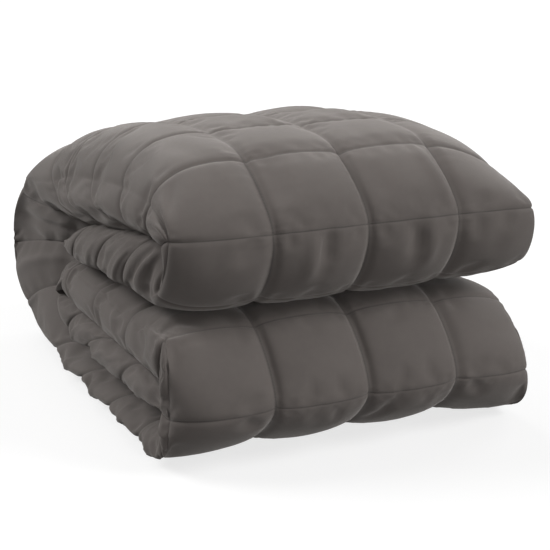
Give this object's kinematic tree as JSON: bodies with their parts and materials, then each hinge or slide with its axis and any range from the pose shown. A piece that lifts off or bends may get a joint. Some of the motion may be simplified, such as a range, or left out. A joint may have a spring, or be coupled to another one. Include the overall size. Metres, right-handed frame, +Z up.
{
  "type": "weighted blanket",
  "caption": "Quilted weighted blanket folded into a soft block, with round folds over each other at the front and a big bend at the back.",
  "frame": {"origin": "on the ground under the middle of the folded blanket", "axes": "+Z up, -Y towards the front with the two round folds, +X to the right; the fold edges of the strip look along -X and +X"},
  "size_m": [0.4052, 0.563, 0.2977],
  "materials": {
    "cloth": "smooth matt microfibre"
  },
  "bodies": {
    "root": {"blanket": "cloth"}
  },
  "joints": []
}
